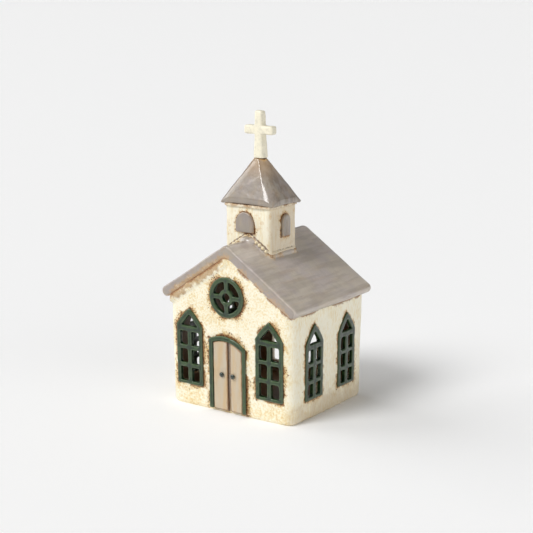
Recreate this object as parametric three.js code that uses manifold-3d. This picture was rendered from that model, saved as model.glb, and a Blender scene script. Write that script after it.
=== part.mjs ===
// A chapel tealight holder, slab-built in clay and glazed.
// Millimetres, +Z up, the front towards -Y. The origin is on the table, under the middle of the whole.
// Each wall is a flat slab that leans out a little. Pierced windows seat in rebates of the walls, the door
// is laid on the front wall, and the belfry with its spire and cross straddles the ridge of the roof.

import * as THREE from "three";
import { mergeVertices } from "three/addons/utils/BufferGeometryUtils.js";
import Module from "manifold-3d";

const wasm = await Module();
wasm.setup();

// Joints between pieces, and how far a cut runs past what it cuts
const slipGap = 0.3;
const cutMargin = 1;

// Body
const bodyWidth = 100.8;
const bodyDepth = 87.8;
const wallHeight = 73.4;
const wallThickness = 4.2;
const sideFlare = 0.7;
const endFlare = 1.1;
const bodyCornerRadius = 6;
const hollowCornerRadius = 1;
const footRounding = 1.4;
const floorThickness = 5.6;

// Opening in the back wall, where the tealight goes in
const rearOpeningWidth = 49.6;
const rearOpeningSill = 13.4;
const rearOpeningSpring = 34;
const rearSillCorner = 4;

// Windows: a pierced panel with a pointed head, three rows of two panes and one pane in the head
const panelThickness = 3;
const panelStandOut = 1.2;
const panelEdgeRounding = 0.7;
const panelLedge = 1.7;
const frameBand = 3;
const mullionWidth = 3.3;
const barHeight = 3;
const sillBand = 2.3;
const headBarHeight = 3.9;
const paneCorner = 1.1;
const paneRows = 3;
const headPaneDrop = 0.3;
const windowFootCorner = 1.4;
const windowLeastCorner = 0.3;
const windowHeadBow = 0.8;

const frontWindow = { width: 22, foot: 14.9, spring: 56.5, apex: 69, edgeMargin: 6.3 };
const sideWindow = { width: 20.6, foot: 13.5, spring: 52.2, apex: 65.1, edgeMargin: 13.7 };
const sideWindowShift = 1.2;

// Round window in the gable
const roundWindowRadius = 14;
const roundWindowDrop = 27;
const roundWindowShift = -1.3;
const rimWidth = 3.2;
const hubRadius = 5.7;
const hubHoleRadius = 3.1;
const spokeWidth = 3.3;
const traceryCorner = 0.9;

// Door: a frame on the wall round two leaves, each with a knob
const doorWidth = 30.3;
const doorFoot = 2;
const doorCrown = 53.8;
const doorShift = -0.9;
const doorCrownShift = -2.6;
const doorHeadRadius = 26;
const doorHeadBand = 3;
const doorJambLeft = 3.3;
const doorJambRight = 2.6;
const doorFrameThickness = 1.9;
const doorLeafThickness = 1.5;
const doorLeafGap = 0.3;
const doorSplitWidth = 2.4;
const doorSplitShift = 1.55;
const doorEdgeRounding = 0.7;
const knobDiameter = 3.6;
const knobHeight = 1.7;
const knobFootDiameter = 3.2;
const knobLevel = 27.2;
const knobInsetLeft = 4.2;
const knobInsetRight = 2.6;

// Roof: two slabs that meet at the ridge, which runs a little left of the middle
const roofPitch = THREE.MathUtils.degToRad(33.7);
const roofThickness = 7.4;
const ridgeShift = -1.5;
const leftOverhang = 6.6;
const rightOverhang = 4.9;
const frontOverhang = 1.6;
const rearOverhang = 2.6;
const rakeRounding = 1.6;
const eaveCorner = 3.4;
const crestRounding = 3.5;
const ventDiameter = 12;

// Belfry on the ridge: four slabs, each with a raised arched panel. Its middle lies this far to the left of
// the body's middle and this far in front of it.
const belfryWidth = 37.4;
const belfryDepth = 31.1;
const belfryRise = 20.7;
const belfryLeftward = 2.4;
const belfryForward = 4.6;
const belfryWall = 4;
const belfryCornerRadius = 2.6;
const belfryPanelThickness = 2;
const belfryPanelRounding = 0.8;
const endPanel = { width: 14.6, height: 13.9, headGap: 3.1 };
const sidePanel = { width: 9, height: 15, headGap: 4.8 };
const frontPanelShift = -1.5;
const rightPanelShift = 1.6;

// Lip, spire and cross
const lipHeight = 1.9;
const lipStandOut = 1.2;
const spireSideOverhang = 3.1;
const spireEndOverhang = 1.3;
const spireEdgeHeight = 4;
const spireEdgeInset = 1.5;
const spireHeight = 29.9;
const spireTopWidth = 8.6;
const spireTopDepth = 8.8;
const spireHipRadius = 3;
const spireWall = 4.6;
const spireHollowTop = 3;
const crossHeight = 31.9;
const crossSpan = 23.2;
const crossArmHeight = 5.9;
const crossArmLevel = 16;
const crossShaftWidth = 6;
const crossFootWidth = 7.9;
const crossThickness = 5.4;
const crossFootThickness = 8.2;
const crossRounding = 1.1;
const crossNeckRounding = 0.4;
const crossLean = -0.02;

// Sizes that follow from those above
const halfWidth = bodyWidth / 2;
const halfDepth = bodyDepth / 2;
const eaveHalfWidth = halfWidth + sideFlare;
const gableApex = wallHeight + eaveHalfWidth * Math.tan(roofPitch);
const roofUnderApex = gableApex + slipGap / Math.cos(roofPitch);
const ridge = roofUnderApex + roofThickness / Math.cos(roofPitch);
const belfryTop = ridge + belfryRise;
const spireFoot = belfryTop + lipHeight;
const spireTop = spireFoot + spireHeight;

// Glazes
const glaze = (color, roughness) => new THREE.MeshStandardMaterial({ color, roughness, metalness: 0 });
const creamGlaze = () => glaze(0xeee3c6, 0.35);
const crossGlaze = () => glaze(0xf6efd6, 0.3);
const greyGlaze = () => glaze(0x9e948a, 0.15);
const greenGlaze = () => glaze(0x2f5238, 0.2);
const doorGlaze = () => glaze(0xc9b79a, 0.4);
const knobGlaze = () => glaze(0x28322b, 0.2);
const bareClay = () => glaze(0xcdb892, 0.85);

// Solids

// A three.js geometry as a closed solid that can be joined and cut.
function solidOf(geometry) {
  const bare = geometry.clone();
  bare.deleteAttribute("normal");
  bare.deleteAttribute("uv");
  const merged = mergeVertices(bare, 1e-4);
  const corners = merged.index.array;
  const kept = [];
  for (let i = 0; i < corners.length; i += 3) {
    const [a, b, c] = corners.slice(i, i + 3);
    if (a !== b && b !== c && c !== a) kept.push(a, b, c);
  }
  return new wasm.Manifold(new wasm.Mesh({
    numProp: 3,
    vertProperties: new Float32Array(merged.attributes.position.array),
    triVerts: new Uint32Array(kept),
  }));
}

function geometryOf(solid) {
  const mesh = solid.getMesh();
  const geometry = new THREE.BufferGeometry();
  geometry.setAttribute("position", new THREE.BufferAttribute(new Float32Array(mesh.vertProperties), 3));
  geometry.setIndex(new THREE.BufferAttribute(new Uint32Array(mesh.triVerts), 1));
  geometry.computeVertexNormals();
  return geometry;
}

// A block between two corners.
function block(low, high) {
  const size = high.map((value, i) => value - low[i]);
  const geometry = new THREE.BoxGeometry(...size);
  geometry.translate(...high.map((value, i) => (value + low[i]) / 2));
  return solidOf(geometry);
}

// An outline raised from one level to another along its own +Z, with square edges.
function prism(outline, from, to, curveSegments = 3) {
  const depth = to - from;
  const geometry = new THREE.ExtrudeGeometry(outline, { depth, bevelEnabled: false, curveSegments });
  geometry.translate(0, 0, from);
  return geometry;
}

// An outline raised from one level to another, with every edge of both ends rounded.
function roundedPrism(outline, from, to, rounding, curveSegments = 3, bevelSegments = 2) {
  const geometry = new THREE.ExtrudeGeometry(outline, {
    depth: to - from - 2 * rounding,
    bevelEnabled: true,
    bevelThickness: rounding,
    bevelSize: rounding,
    bevelOffset: -rounding,
    bevelSegments,
    curveSegments,
  });
  geometry.translate(0, 0, from + rounding);
  return geometry;
}

// The same with a flat back: only the edges of the upper end are rounded.
function raisedSlab(outline, from, to, rounding, curveSegments = 3) {
  const deep = from - 2 * rounding;
  const whole = solidOf(roundedPrism(outline, deep, to, rounding, curveSegments));
  const reach = 2 * bodyWidth;
  return whole.subtract(block([-reach, -reach, deep - cutMargin], [reach, reach, from]));
}

// Rings of points, one above another, closed by a flat cap at each end.
function loft(rings) {
  const count = rings[0].length;
  const points = rings.flat();
  const faces = [];
  for (let level = 0; level < rings.length - 1; level += 1) {
    for (let i = 0; i < count; i += 1) {
      const a = level * count + i;
      const b = level * count + ((i + 1) % count);
      faces.push(a, b, b + count, a, b + count, a + count);
    }
  }
  const last = (rings.length - 1) * count;
  for (let i = 1; i < count - 1; i += 1) {
    faces.push(0, i + 1, i);
    faces.push(last, last + i, last + i + 1);
  }
  const geometry = new THREE.BufferGeometry();
  geometry.setAttribute("position", new THREE.Float32BufferAttribute(points.flat(), 3));
  geometry.setIndex(faces);
  return geometry;
}

// Outlines

// A closed outline through corners [x, y, rounding].
function cornered(corners, Kind = THREE.Shape) {
  const path = new Kind();
  const at = (i) => new THREE.Vector2(corners[i][0], corners[i][1]);
  corners.forEach((corner, i) => {
    const here = at(i);
    const rounding = corner[2] ?? 0;
    const towards = (j) => at(j).sub(here).setLength(rounding).add(here);
    const entry = towards((i + corners.length - 1) % corners.length);
    const exit = towards((i + 1) % corners.length);
    if (i === 0) path.moveTo(entry.x, entry.y);
    else path.lineTo(entry.x, entry.y);
    if (rounding > 0) path.quadraticCurveTo(here.x, here.y, exit.x, exit.y);
  });
  path.closePath();
  return path;
}

function roundedRectangle(width, depth, radius) {
  const x = width / 2;
  const y = depth / 2;
  return cornered([[-x, -y, radius], [x, -y, radius], [x, y, radius], [-x, y, radius]]);
}

// A window's outline with its pointed head, grown or, with a negative value, shrunk all round.
function pointedArch({ width, foot, spring, apex }, grow = 0) {
  const run = width / 2;
  const rise = apex - spring;
  const slant = Math.hypot(run, rise);
  const x = run + grow;
  const low = foot - grow;
  const shoulder = spring + (grow * (slant - rise)) / run;
  const top = apex + (grow * slant) / run;
  const bowX = x / 2 + (2 * windowHeadBow * rise) / slant;
  const bowY = (shoulder + top) / 2 + (2 * windowHeadBow * run) / slant;
  const corner = Math.max(windowFootCorner + grow, windowLeastCorner);
  const shape = new THREE.Shape();
  shape.moveTo(-x + corner, low);
  shape.lineTo(x - corner, low);
  shape.quadraticCurveTo(x, low, x, low + corner);
  shape.lineTo(x, shoulder);
  shape.quadraticCurveTo(bowX, bowY, 0, top);
  shape.quadraticCurveTo(-bowX, bowY, -x, shoulder);
  shape.lineTo(-x, low + corner);
  shape.quadraticCurveTo(-x, low, -x + corner, low);
  return shape;
}

// The panes of a window: rows of two under a bar, and one three-cornered pane in the head.
function windowPanes({ width, foot, spring, apex }) {
  const run = width / 2;
  const slant = Math.hypot(run, apex - spring);
  const outer = run - frameBand;
  const inner = mullionWidth / 2;
  const headFoot = spring - headPaneDrop;
  const low = foot + sillBand;
  const high = headFoot - headBarHeight;
  const paneHeight = (high - low - (paneRows - 1) * barHeight) / paneRows;
  const panes = [];
  for (let row = 0; row < paneRows; row += 1) {
    const bottom = low + row * (paneHeight + barHeight);
    const top = bottom + paneHeight;
    for (const side of [-1, 1]) {
      const near = side * inner;
      const far = side * outer;
      const left = Math.min(near, far);
      const right = Math.max(near, far);
      panes.push(cornered([
        [left, bottom, paneCorner], [right, bottom, paneCorner],
        [right, top, paneCorner], [left, top, paneCorner],
      ], THREE.Path));
    }
  }
  const headApex = apex - (frameBand * slant) / run;
  const headHalf = Math.min(((headApex - headFoot) * run) / (apex - spring), outer);
  panes.push(cornered([
    [-headHalf, headFoot, paneCorner], [headHalf, headFoot, paneCorner], [0, headApex, paneCorner],
  ], THREE.Path));
  return panes;
}

// The gap between two spokes of the round window, with its four corners rounded.
function traceryGap(turn) {
  const outer = roundWindowRadius - rimWidth;
  const half = spokeWidth / 2;
  const reach = traceryCorner;
  const outerStart = Math.asin(half / outer);
  const innerStart = Math.asin(half / hubRadius);
  const at = (radius, angle) => [radius * Math.cos(angle + turn), radius * Math.sin(angle + turn)];
  const quarter = Math.PI / 2;
  const outerTrim = outerStart + reach / outer;
  const innerTrim = innerStart + reach / hubRadius;
  const alongSpoke = (radius, start) => radius * Math.cos(start);
  const outerOnSpoke = alongSpoke(outer, outerStart) - reach;
  const innerOnSpoke = alongSpoke(hubRadius, innerStart) + reach;
  const onFirst = (distance) => [
    distance * Math.cos(turn) - half * Math.sin(turn),
    distance * Math.sin(turn) + half * Math.cos(turn),
  ];
  const onSecond = (distance) => [
    half * Math.cos(turn) - distance * Math.sin(turn),
    half * Math.sin(turn) + distance * Math.cos(turn),
  ];
  const gap = new THREE.Path();
  gap.moveTo(...onFirst(outerOnSpoke));
  gap.quadraticCurveTo(...at(outer, outerStart), ...at(outer, outerTrim));
  gap.absarc(0, 0, outer, outerTrim + turn, quarter - outerTrim + turn, false);
  gap.quadraticCurveTo(...at(outer, quarter - outerStart), ...onSecond(outerOnSpoke));
  gap.lineTo(...onSecond(innerOnSpoke));
  gap.quadraticCurveTo(...at(hubRadius, quarter - innerStart), ...at(hubRadius, quarter - innerTrim));
  gap.absarc(0, 0, hubRadius, quarter - innerTrim + turn, innerTrim + turn, true);
  gap.quadraticCurveTo(...at(hubRadius, innerStart), ...onFirst(innerOnSpoke));
  gap.closePath();
  return gap;
}

// A circle as four quarter arcs.
function circle(radius, Kind = THREE.Shape) {
  const path = new Kind();
  const quarter = Math.PI / 2;
  for (let i = 0; i < 4; i += 1) path.absarc(0, 0, radius, i * quarter, (i + 1) * quarter, false);
  return path;
}

// A round-headed outline that stands on the line y = 0.
function roundHeaded(width, height) {
  const x = width / 2;
  const spring = height - x;
  const shape = new THREE.Shape();
  shape.moveTo(-x, 0);
  shape.lineTo(x, 0);
  shape.lineTo(x, spring);
  shape.absarc(0, spring, x, 0, Math.PI, false);
  shape.lineTo(-x, 0);
  return shape;
}

// The level of the door's head, an arc about a point to one side of the door's middle.
function doorHead(radius) {
  const centre = doorCrown - doorHeadRadius;
  return {
    level: (x) => centre + Math.sqrt(radius ** 2 - (x - doorCrownShift) ** 2),
    angle: (x) => Math.acos((x - doorCrownShift) / radius),
    centre,
  };
}

// A straight-sided outline under the door's head, between two uprights.
function underHead(left, right, foot, radius) {
  const head = doorHead(radius);
  const shape = new THREE.Shape();
  shape.moveTo(left, foot);
  shape.lineTo(right, foot);
  shape.lineTo(right, head.level(right));
  shape.absarc(doorCrownShift, head.centre, radius, head.angle(right), head.angle(left), false);
  shape.lineTo(left, foot);
  return shape;
}

// The roof seen from the front: both slabs in one folded outline, each ending square to its slope.
function roofSection() {
  const endRun = roofThickness * Math.sin(roofPitch);
  const endRise = roofThickness * Math.cos(roofPitch);
  const slabEnd = (side, overhang) => {
    const eave = side * (eaveHalfWidth + overhang);
    const level = ridge - Math.abs(eave - ridgeShift) * Math.tan(roofPitch);
    return [[eave, level, eaveCorner], [eave - side * endRun, level - endRise, eaveCorner]];
  };
  const [leftTop, leftFoot] = slabEnd(-1, leftOverhang);
  const [rightTop, rightFoot] = slabEnd(1, rightOverhang);
  return cornered([
    leftTop, leftFoot, [ridgeShift, roofUnderApex, 0], rightFoot, rightTop, [ridgeShift, ridge, crestRounding],
  ]);
}

// Everything under a gable line through the given apex, which lies under the ridge.
function underGable(apex, depth) {
  const reach = bodyWidth;
  const left = ridgeShift - reach;
  const right = ridgeShift + reach;
  const low = apex - reach * Math.tan(roofPitch);
  const outline = cornered([[left, -reach], [right, -reach], [right, low], [ridgeShift, apex], [left, low]]);
  return standing(prism(outline, -depth, depth));
}

// Turns an outline drawn in front view so that it stands up and is raised towards the front.
function standing(geometry) {
  return geometry.rotateX(Math.PI / 2);
}

// Moves each point outwards with its height, by the lean of the walls.
function flared(geometry) {
  const position = geometry.attributes.position;
  for (let i = 0; i < position.count; i += 1) {
    const lean = position.getZ(i) / wallHeight;
    position.setX(i, position.getX(i) + Math.sign(position.getX(i)) * sideFlare * lean);
    position.setY(i, position.getY(i) + Math.sign(position.getY(i)) * endFlare * lean);
  }
  return geometry;
}

// The four faces of the body. Each has +X to the right seen from outside, +Y up the wall and +Z outwards.
function wallFace(turn, distance, flare) {
  const side = new THREE.Group();
  const face = new THREE.Group();
  side.rotation.z = turn;
  face.position.y = -distance;
  face.rotation.x = Math.PI / 2 + Math.atan(flare / wallHeight);
  side.add(face);
  side.updateMatrixWorld(true);
  return { side, face };
}

const front = wallFace(0, halfDepth, endFlare);
const right = wallFace(Math.PI / 2, halfWidth, sideFlare);
const back = wallFace(Math.PI, halfDepth, endFlare);
const left = wallFace(-Math.PI / 2, halfWidth, sideFlare);

// A cut through a wall from outside, drawn on one of its faces.
function cutOn(wall, geometry, x, y) {
  return solidOf(geometry.translate(x, y, 0).applyMatrix4(wall.face.matrixWorld));
}

// The rebate that a panel seats in, and the smaller hole behind it that leaves a ledge.
function panelSeat(wall, outline, x, y) {
  const rebate = panelThickness - panelStandOut + slipGap;
  const seat = prism(outline(slipGap), -rebate, wallThickness);
  const hole = prism(outline(-panelLedge), -3 * wallThickness, wallThickness);
  return cutOn(wall, seat, x, y).add(cutOn(wall, hole, x, y));
}

const frontWindowX = halfWidth - frontWindow.edgeMargin - frontWindow.width / 2;
const sideWindowX = halfDepth - sideWindow.edgeMargin - sideWindow.width / 2;
const roundWindowLevel = gableApex - roundWindowDrop;

// Pieces

const chapel = new THREE.Group();
for (const wall of [front, right, back, left]) chapel.add(wall.side);

function place(parent, name, geometry, material, x = 0, y = 0, z = 0) {
  const mesh = new THREE.Mesh(geometry, material);
  mesh.name = name;
  mesh.position.set(x, y, z);
  parent.add(mesh);
}

// Walls: the front and back slabs run the full width and own the rounded corners, the side slabs butt
// against them.
function makeWalls() {
  const top = gableApex + 2 * footRounding;
  const outside = roundedRectangle(bodyWidth, bodyDepth, bodyCornerRadius);
  const inside = roundedRectangle(bodyWidth - 2 * wallThickness, bodyDepth - 2 * wallThickness,
    hollowCornerRadius);
  const hull = solidOf(flared(roundedPrism(outside, 0, top, footRounding)));
  const hollow = solidOf(flared(prism(inside, -cutMargin, top + cutMargin)));
  const shell = hull.subtract(hollow).intersect(solidOf(underGable(gableApex, bodyDepth)));

  const reach = 2 * bodyWidth;
  const end = (thickness) => solidOf(prism(roundedRectangle(2 * reach, 2 * reach, 0), -thickness, reach));
  const onFace = (wall, solid) => solid.transform(wall.face.matrixWorld.toArray());
  const frontEnd = onFace(front, end(wallThickness));
  const backEnd = onFace(back, end(wallThickness));
  const ends = onFace(front, end(wallThickness + slipGap)).add(onFace(back, end(wallThickness + slipGap)));
  const sides = shell.subtract(ends);
  const half = block([0, -reach, -cutMargin], [reach, reach, 2 * reach]);

  const pointed = (window) => (grow) => pointedArch(window, grow);
  const round = (grow) => circle(roundWindowRadius + grow);
  let frontWall = shell.intersect(frontEnd);
  for (const x of [-frontWindowX, frontWindowX]) {
    frontWall = frontWall.subtract(panelSeat(front, pointed(frontWindow), x, 0));
  }
  frontWall = frontWall.subtract(panelSeat(front, round, roundWindowShift, roundWindowLevel));

  const opening = rearOpening();
  const backWall = shell.intersect(backEnd).subtract(cutOn(back, opening, 0, 0));

  const sideWall = (wall, slab) => [-sideWindowX, sideWindowX].reduce(
    (rest, x) => rest.subtract(panelSeat(wall, pointed(sideWindow), x + sideShift(wall), 0)), slab);

  place(chapel, "front_wall", geometryOf(frontWall), creamGlaze());
  place(chapel, "back_wall", geometryOf(backWall), creamGlaze());
  place(chapel, "right_wall", geometryOf(sideWall(right, sides.intersect(half))), creamGlaze());
  place(chapel, "left_wall", geometryOf(sideWall(left, sides.subtract(half))), creamGlaze());
}

// The side windows sit a little nearer to one end of the wall.
function sideShift(wall) {
  return wall === right ? sideWindowShift : -sideWindowShift;
}

// The arched way in at the back, with a rounded sill.
function rearOpening() {
  const x = rearOpeningWidth / 2;
  const shape = new THREE.Shape();
  shape.moveTo(-x + rearSillCorner, rearOpeningSill);
  shape.lineTo(x - rearSillCorner, rearOpeningSill);
  shape.quadraticCurveTo(x, rearOpeningSill, x, rearOpeningSill + rearSillCorner);
  shape.lineTo(x, rearOpeningSpring);
  shape.absarc(0, rearOpeningSpring, x, 0, Math.PI, false);
  shape.lineTo(-x, rearOpeningSill + rearSillCorner);
  shape.quadraticCurveTo(-x, rearOpeningSill, -x + rearSillCorner, rearOpeningSill);
  return prism(shape, -3 * wallThickness, wallThickness, 6);
}

// Floor: a slab inside the walls, with its underside level with their feet.
function makeFloor() {
  const width = bodyWidth - 2 * (wallThickness + slipGap);
  const depth = bodyDepth - 2 * (wallThickness + slipGap);
  const slab = flared(prism(roundedRectangle(width, depth, hollowCornerRadius), 0, floorThickness));
  place(chapel, "floor_slab", slab, bareClay());
}

function makeWindows() {
  const level = panelStandOut - panelThickness;
  const panel = (window) => {
    const outline = pointedArch(window);
    outline.holes.push(...windowPanes(window));
    return geometryOf(raisedSlab(outline, level, panelStandOut, panelEdgeRounding));
  };
  for (const [name, x] of [["left", -frontWindowX], ["right", frontWindowX]]) {
    place(front.face, `front_window_${name}`, panel(frontWindow), greenGlaze(), x);
  }
  for (const [name, wall, rearward] of [["right", right, 1], ["left", left, -1]]) {
    for (const [end, x] of [["front", -rearward * sideWindowX], ["rear", rearward * sideWindowX]]) {
      place(wall.face, `${name}_window_${end}`, panel(sideWindow), greenGlaze(), x + sideShift(wall));
    }
  }

  const disc = circle(roundWindowRadius);
  disc.holes.push(circle(hubHoleRadius, THREE.Path));
  for (let i = 0; i < 4; i += 1) disc.holes.push(traceryGap((i * Math.PI) / 2));
  const tracery = raisedSlab(disc, level, panelStandOut, panelEdgeRounding);
  place(front.face, "round_window", geometryOf(tracery), greenGlaze(), roundWindowShift, roundWindowLevel);
}

function makeDoor() {
  const x = doorWidth / 2;
  const insideLeft = doorJambLeft - x;
  const insideRight = x - doorJambRight;
  const arcSteps = 5;
  const outline = underHead(-x, x, doorFoot, doorHeadRadius);
  const inner = underHead(insideLeft, insideRight, doorFoot - cutMargin, doorHeadRadius - doorHeadBand);
  const whole = raisedSlab(outline, slipGap, doorFrameThickness, doorEdgeRounding, arcSteps);
  const way = solidOf(prism(inner, -doorFrameThickness, 2 * doorFrameThickness, arcSteps));
  place(front.face, "door_frame", geometryOf(whole.subtract(way)), greenGlaze(), doorShift);

  const leafRadius = doorHeadRadius - doorHeadBand - doorLeafGap;
  const splitLeft = doorSplitShift - doorSplitWidth / 2;
  const splitRight = doorSplitShift + doorSplitWidth / 2;
  const leaves = [
    ["left", insideLeft + doorLeafGap, splitLeft, splitLeft - knobInsetLeft],
    ["right", splitRight, insideRight - doorLeafGap, splitRight + knobInsetRight],
  ];
  for (const [name, from, to, knobX] of leaves) {
    const leaf = underHead(from, to, doorFoot, leafRadius);
    const slab = raisedSlab(leaf, slipGap, doorLeafThickness, doorEdgeRounding, arcSteps);
    place(front.face, `door_leaf_${name}`, geometryOf(slab), doorGlaze(), doorShift);
    place(front.face, `door_knob_${name}`, knob(), knobGlaze(), doorShift + knobX, knobLevel,
      doorLeafThickness + slipGap);
  }
}

// A knob: a low dome on a short round foot.
function knob() {
  const radius = knobDiameter / 2;
  const foot = knobHeight / 3;
  const profile = [new THREE.Vector2(0, 0), new THREE.Vector2(knobFootDiameter / 2, 0)];
  const steps = 4;
  const sides = 14;
  for (let i = 0; i <= steps; i += 1) {
    const angle = (i / steps) * (Math.PI / 2);
    profile.push(new THREE.Vector2(radius * Math.cos(angle), foot + (knobHeight - foot) * Math.sin(angle)));
  }
  profile[profile.length - 1].x = 0;
  const dome = new THREE.LatheGeometry(profile, sides).rotateX(Math.PI / 2);
  return geometryOf(solidOf(dome));
}

// Roof: one folded section, cut at the ridge into two slabs, with a vent under the belfry.
function makeRoof() {
  const depth = bodyDepth + 2 * endFlare + frontOverhang + rearOverhang;
  const folded = standing(roundedPrism(roofSection(), 0, depth, rakeRounding, 3));
  folded.translate(0, halfDepth + endFlare + rearOverhang, 0);
  const ventSides = 16;
  const vent = new THREE.CylinderGeometry(ventDiameter / 2, ventDiameter / 2, 4 * roofThickness, ventSides);
  vent.rotateX(Math.PI / 2).translate(ridgeShift, -belfryForward, ridge - roofThickness);
  const reach = bodyWidth;
  const roof = solidOf(folded).subtract(solidOf(vent));
  const half = slipGap / 2;
  const rightSlab = roof.intersect(block([ridgeShift + half, -reach, 0], [reach, reach, 2 * reach]));
  const leftSlab = roof.intersect(block([-reach, -reach, 0], [ridgeShift - half, reach, 2 * reach]));
  place(chapel, "roof_slab_right", geometryOf(rightSlab), greyGlaze());
  place(chapel, "roof_slab_left", geometryOf(leftSlab), greyGlaze());
}

// Belfry: four slabs cut at the foot to sit astride the roof.
function makeBelfry() {
  const low = ridge - belfryWidth;
  const inWidth = belfryWidth - 2 * belfryWall;
  const inDepth = belfryDepth - 2 * belfryWall;
  const outer = prism(roundedRectangle(belfryWidth, belfryDepth, belfryCornerRadius), low, belfryTop);
  const inner = prism(roundedRectangle(inWidth, inDepth, 0), low - cutMargin, belfryTop + cutMargin);
  const roofTop = underGable(ridge + slipGap / Math.cos(roofPitch), belfryDepth).translate(belfryLeftward, 0, 0);
  const shell = solidOf(outer).subtract(solidOf(inner)).subtract(solidOf(roofTop));
  const x = belfryWidth;
  const y = inDepth / 2;
  const frontBlock = block([-x, -x, 0], [x, -y, 2 * belfryTop]);
  const backBlock = block([-x, y, 0], [x, x, 2 * belfryTop]);
  const sides = shell.subtract(frontBlock).subtract(backBlock);
  const half = block([0, -x, 0], [x, x, 2 * belfryTop]);
  const belfry = new THREE.Group();
  belfry.position.set(-belfryLeftward, -belfryForward, 0);
  chapel.add(belfry);
  place(belfry, "belfry_front", geometryOf(shell.intersect(frontBlock)), creamGlaze());
  place(belfry, "belfry_back", geometryOf(shell.intersect(backBlock)), creamGlaze());
  place(belfry, "belfry_right", geometryOf(sides.intersect(half)), creamGlaze());
  place(belfry, "belfry_left", geometryOf(sides.subtract(half)), creamGlaze());

  const panels = [
    ["front", 0, belfryDepth / 2, endPanel, frontPanelShift],
    ["right", Math.PI / 2, belfryWidth / 2, sidePanel, rightPanelShift],
    ["back", Math.PI, belfryDepth / 2, endPanel, 0],
    ["left", -Math.PI / 2, belfryWidth / 2, sidePanel, 0],
  ];
  for (const [name, turn, distance, panel, shift] of panels) {
    const foot = belfryTop - panel.headGap - panel.height;
    const outline = roundHeaded(panel.width, panel.height);
    const slab = raisedSlab(outline, 0, belfryPanelThickness, belfryPanelRounding, 5);
    const geometry = standing(geometryOf(slab)).translate(shift, -distance, foot).rotateZ(turn);
    place(belfry, `belfry_panel_${name}`, geometry, greyGlaze());
  }

  makeSpire(belfry);
}

// One level of the spire or its hollow: a rounded rectangle as a ring of points.
function ring(width, depth, radius, z) {
  const cornerSteps = 4;
  const points = roundedRectangle(width, depth, radius).getPoints(cornerSteps).slice(0, -1);
  return points.map((point) => [point.x, point.y, z]);
}

function makeSpire(belfry) {
  const lipOutside = roundedRectangle(belfryWidth + 2 * lipStandOut, belfryDepth + 2 * lipStandOut,
    belfryCornerRadius + lipStandOut);
  const hollowWidth = belfryWidth - 2 * belfryWall;
  const hollowDepth = belfryDepth - 2 * belfryWall;
  lipOutside.holes.push(roundedRectangle(hollowWidth, hollowDepth, hollowCornerRadius));
  place(belfry, "belfry_lip", prism(lipOutside, belfryTop, spireFoot), creamGlaze());

  // The rounded edge, and then a straight slope: how far each level is drawn in and how high it is, as shares
  // of the edge's own sizes.
  const width = belfryWidth + 2 * spireSideOverhang;
  const depth = belfryDepth + 2 * spireEndOverhang;
  const edge = [[1, 0], [0.35, 0.15], [0, 0.4], [0.15, 0.6]].map(([inset, level]) => ({
    width: width - 2 * inset * spireEdgeInset,
    depth: depth - 2 * inset * spireEdgeInset,
    level: spireFoot + level * spireEdgeHeight,
  }));
  const shoulder = edge[edge.length - 1];
  const rings = edge.map((at) => ring(at.width, at.depth, spireHipRadius, at.level));
  const steps = 5;
  for (let i = 1; i <= steps; i += 1) {
    const up = i / steps;
    rings.push(ring(
      THREE.MathUtils.lerp(shoulder.width, spireTopWidth, up),
      THREE.MathUtils.lerp(shoulder.depth, spireTopDepth, up),
      THREE.MathUtils.lerp(spireHipRadius, spireHipRadius / 2, up),
      THREE.MathUtils.lerp(shoulder.level, spireTop, up),
    ));
  }
  const hollow = loft([
    ring(hollowWidth, hollowDepth, hollowCornerRadius, spireFoot - cutMargin),
    ring(hollowWidth, hollowDepth, hollowCornerRadius, spireFoot + spireWall / 2),
    ring(spireHollowTop, spireHollowTop, hollowCornerRadius, spireTop - 2 * spireWall),
  ]);
  const spire = solidOf(loft(rings)).subtract(solidOf(hollow));
  place(belfry, "spire", geometryOf(spire), greyGlaze());

  place(belfry, "cross", cross(), crossGlaze(), 0, 0, spireTop);
}

// The cross: a shaft that widens to its foot, thicker there too, and leans a little.
function cross() {
  const shaft = crossShaftWidth / 2;
  const foot = crossFootWidth / 2;
  const arm = crossSpan / 2;
  const low = crossArmLevel;
  const high = crossArmLevel + crossArmHeight;
  const outline = cornered([
    [-foot, -2 * crossRounding, 0], [foot, -2 * crossRounding, 0],
    [shaft, low, crossNeckRounding], [arm, low, crossRounding],
    [arm, high, crossRounding], [shaft, high, crossNeckRounding],
    [shaft, crossHeight, crossRounding], [-shaft, crossHeight, crossRounding],
    [-shaft, high, crossNeckRounding], [-arm, high, crossRounding],
    [-arm, low, crossRounding], [-shaft, low, crossNeckRounding],
  ]);
  const half = crossThickness / 2;
  const upright = standing(roundedPrism(outline, -half, half, crossRounding, 2));
  const position = upright.attributes.position;
  for (let i = 0; i < position.count; i += 1) {
    const z = position.getZ(i);
    const down = 1 - z / crossHeight;
    const spread = 1 + (crossFootThickness / crossThickness - 1) * down;
    position.setX(i, position.getX(i) + crossLean * z);
    position.setY(i, position.getY(i) * spread);
  }
  const reach = crossSpan;
  return geometryOf(solidOf(upright).subtract(block([-reach, -reach, -reach], [reach, reach, 0])));
}

makeFloor();
makeWalls();
makeWindows();
makeDoor();
makeRoof();
makeBelfry();

const extent = new THREE.Box3().setFromObject(chapel, true);
chapel.position.y = -(extent.min.y + extent.max.y) / 2;

export default chapel;
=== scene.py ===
"""A chapel tealight holder in glazed, hand-built pottery, dressed around its packed frame."""
import math
from contextlib import contextmanager

import bpy
import numpy as np
from bpy.props import FloatProperty, FloatVectorProperty, PointerProperty
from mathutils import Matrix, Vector
from mathutils.bvhtree import BVHTree


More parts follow.
